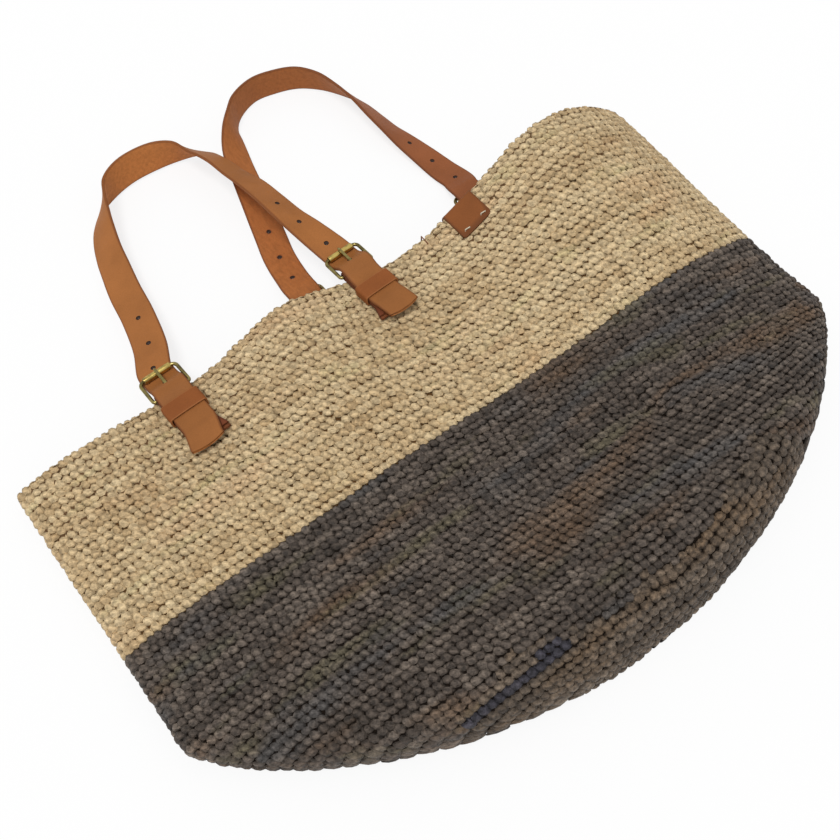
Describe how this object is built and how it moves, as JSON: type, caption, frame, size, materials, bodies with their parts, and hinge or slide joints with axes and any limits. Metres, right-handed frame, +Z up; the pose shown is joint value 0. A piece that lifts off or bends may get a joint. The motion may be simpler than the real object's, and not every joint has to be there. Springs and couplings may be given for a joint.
{
  "type": "crochet raffia bag",
  "caption": "Wide crochet raffia tote lying on its back, with a natural band over a dark body, buckled leather strap handles, sliding keepers and a folded leather rim label.",
  "frame": {"origin": "middle of the underside of the lying bag with its handles laid out, on the surface that it lies on", "axes": "+X along the mouth to the right as seen from above, +Y from the base out past the mouth to the handles, +Z up out of the front panel"},
  "size_m": [0.573, 0.581, 0.0641],
  "materials": {
    "natural_raffia": "matt natural raffia in single crochet",
    "grey_raffia": "matt dark grey-brown raffia in single crochet",
    "brown_raffia": "matt grey-brown raffia, thicker rows",
    "tan_leather": "vegetable-tanned tan leather, dark burnished edges, soft sheen",
    "brown_leather": "vegetable-tanned brown leather, soft sheen",
    "antique_brass": "dull antique brass",
    "cream_thread": "waxed cream thread",
    "brown_thread": "waxed brown thread"
  },
  "bodies": {
    "bag_body": {"natural_raffia_band": "natural_raffia", "grey_raffia_wall": "grey_raffia", "grey_raffia_base": "brown_raffia", "front_left_chape": "brown_leather", "front_right_chape": "brown_leather", "back_left_chape": "brown_leather", "back_right_chape": "brown_leather", "front_left_chape_stitch": "cream_thread", "front_right_chape_stitch": "cream_thread", "back_left_chape_stitch": "cream_thread", "back_right_chape_stitch": "cream_thread", "front_left_strap_tail": "tan_leather", "front_right_strap_tail": "tan_leather", "back_left_strap_tail": "tan_leather", "back_right_strap_tail": "tan_leather", "rim_label": "tan_leather", "label_left_stitch": "cream_thread", "label_right_stitch": "cream_thread", "rim_thread": "brown_thread"},
    "front_handle": {"front_handle_strap": "tan_leather", "front_left_buckle_frame": "antique_brass", "front_right_buckle_frame": "antique_brass"},
    "back_handle": {"back_handle_strap": "tan_leather", "back_left_buckle_frame": "antique_brass", "back_right_buckle_frame": "antique_brass"},
    "front_left_roller_body": {"front_left_roller": "antique_brass"},
    "front_left_prong_body": {"front_left_prong": "antique_brass"},
    "front_left_keeper_body": {"front_left_keeper": "brown_leather"},
    "front_right_roller_body": {"front_right_roller": "antique_brass"},
    "front_right_prong_body": {"front_right_prong": "antique_brass"},
    "front_right_keeper_body": {"front_right_keeper": "brown_leather"},
    "back_left_roller_body": {"back_left_roller": "antique_brass"},
    "back_left_prong_body": {"back_left_prong": "antique_brass"},
    "back_left_keeper_body": {"back_left_keeper": "brown_leather"},
    "back_right_roller_body": {"back_right_roller": "antique_brass"},
    "back_right_prong_body": {"back_right_prong": "antique_brass"},
    "back_right_keeper_body": {"back_right_keeper": "brown_leather"}
  },
  "joints": [
    {"name": "front_handle_swing", "type": "hinge", "parent": "bag_body", "child": "front_handle", "pos_m": [-0.161, 0.04162, 0.03129], "axis": [0.9979, 0.0572, 0.0315], "range_deg": [0, 120]},
    {"name": "back_handle_swing", "type": "hinge", "parent": "bag_body", "child": "back_handle", "pos_m": [-0.031, 0.05521, 0.00701], "axis": [-0.9992, -0.0407, 0], "range_deg": [0, 120]},
    {"name": "front_left_roller_spin", "type": "hinge", "parent": "front_handle", "child": "front_left_roller_body", "pos_m": [-0.16215, 0.06253, 0.02976], "axis": [0.9979, 0.0572, 0.0315], "continuous": true},
    {"name": "front_left_prong_lift", "type": "hinge", "parent": "front_handle", "child": "front_left_prong_body", "pos_m": [-0.161, 0.04162, 0.03129], "axis": [0.9979, 0.0572, 0.0315], "range_deg": [0, 3]},
    {"name": "front_left_keeper_slide", "type": "slide", "parent": "bag_body", "child": "front_left_keeper_body", "axis": [0.0547, -0.9959, 0.0727], "range_m": [0, 0.012]},
    {"name": "front_right_roller_spin", "type": "hinge", "parent": "front_handle", "child": "front_right_roller_body", "pos_m": [0.00285, 0.07199, 0.03501], "axis": [0.9979, 0.0572, 0.0315], "continuous": true},
    {"name": "front_right_prong_lift", "type": "hinge", "parent": "front_handle", "child": "front_right_prong_body", "pos_m": [0.004, 0.05107, 0.0365], "axis": [0.9979, 0.0572, 0.0315], "range_deg": [0, 3]},
    {"name": "front_right_keeper_slide", "type": "slide", "parent": "bag_body", "child": "front_right_keeper_body", "axis": [0.0548, -0.996, 0.0707], "range_m": [-0.0075, 0.0045]},
    {"name": "back_left_roller_spin", "type": "hinge", "parent": "back_handle", "child": "back_left_roller_body", "pos_m": [-0.03186, 0.07619, 0.00701], "axis": [-0.9992, -0.0407, 0], "continuous": true},
    {"name": "back_left_prong_lift", "type": "hinge", "parent": "back_handle", "child": "back_left_prong_body", "pos_m": [-0.031, 0.05521, 0.00701], "axis": [-0.9992, -0.0407, 0], "range_deg": [0, 3]},
    {"name": "back_left_keeper_slide", "type": "slide", "parent": "bag_body", "child": "back_left_keeper_body", "axis": [0.0407, -0.9992, 0], "range_m": [-0.001, 0.011]},
    {"name": "back_right_roller_spin", "type": "hinge", "parent": "back_handle", "child": "back_right_roller_body", "pos_m": [0.13614, 0.08304, 0.00701], "axis": [-0.9992, -0.0407, 0], "continuous": true},
    {"name": "back_right_prong_lift", "type": "hinge", "parent": "back_handle", "child": "back_right_prong_body", "pos_m": [0.137, 0.06206, 0.00701], "axis": [-0.9992, -0.0407, 0], "range_deg": [0, 3]},
    {"name": "back_right_keeper_slide", "type": "slide", "parent": "bag_body", "child": "back_right_keeper_body", "axis": [0.0407, -0.9992, 0], "range_m": [-0.001, 0.011]}
  ]
}
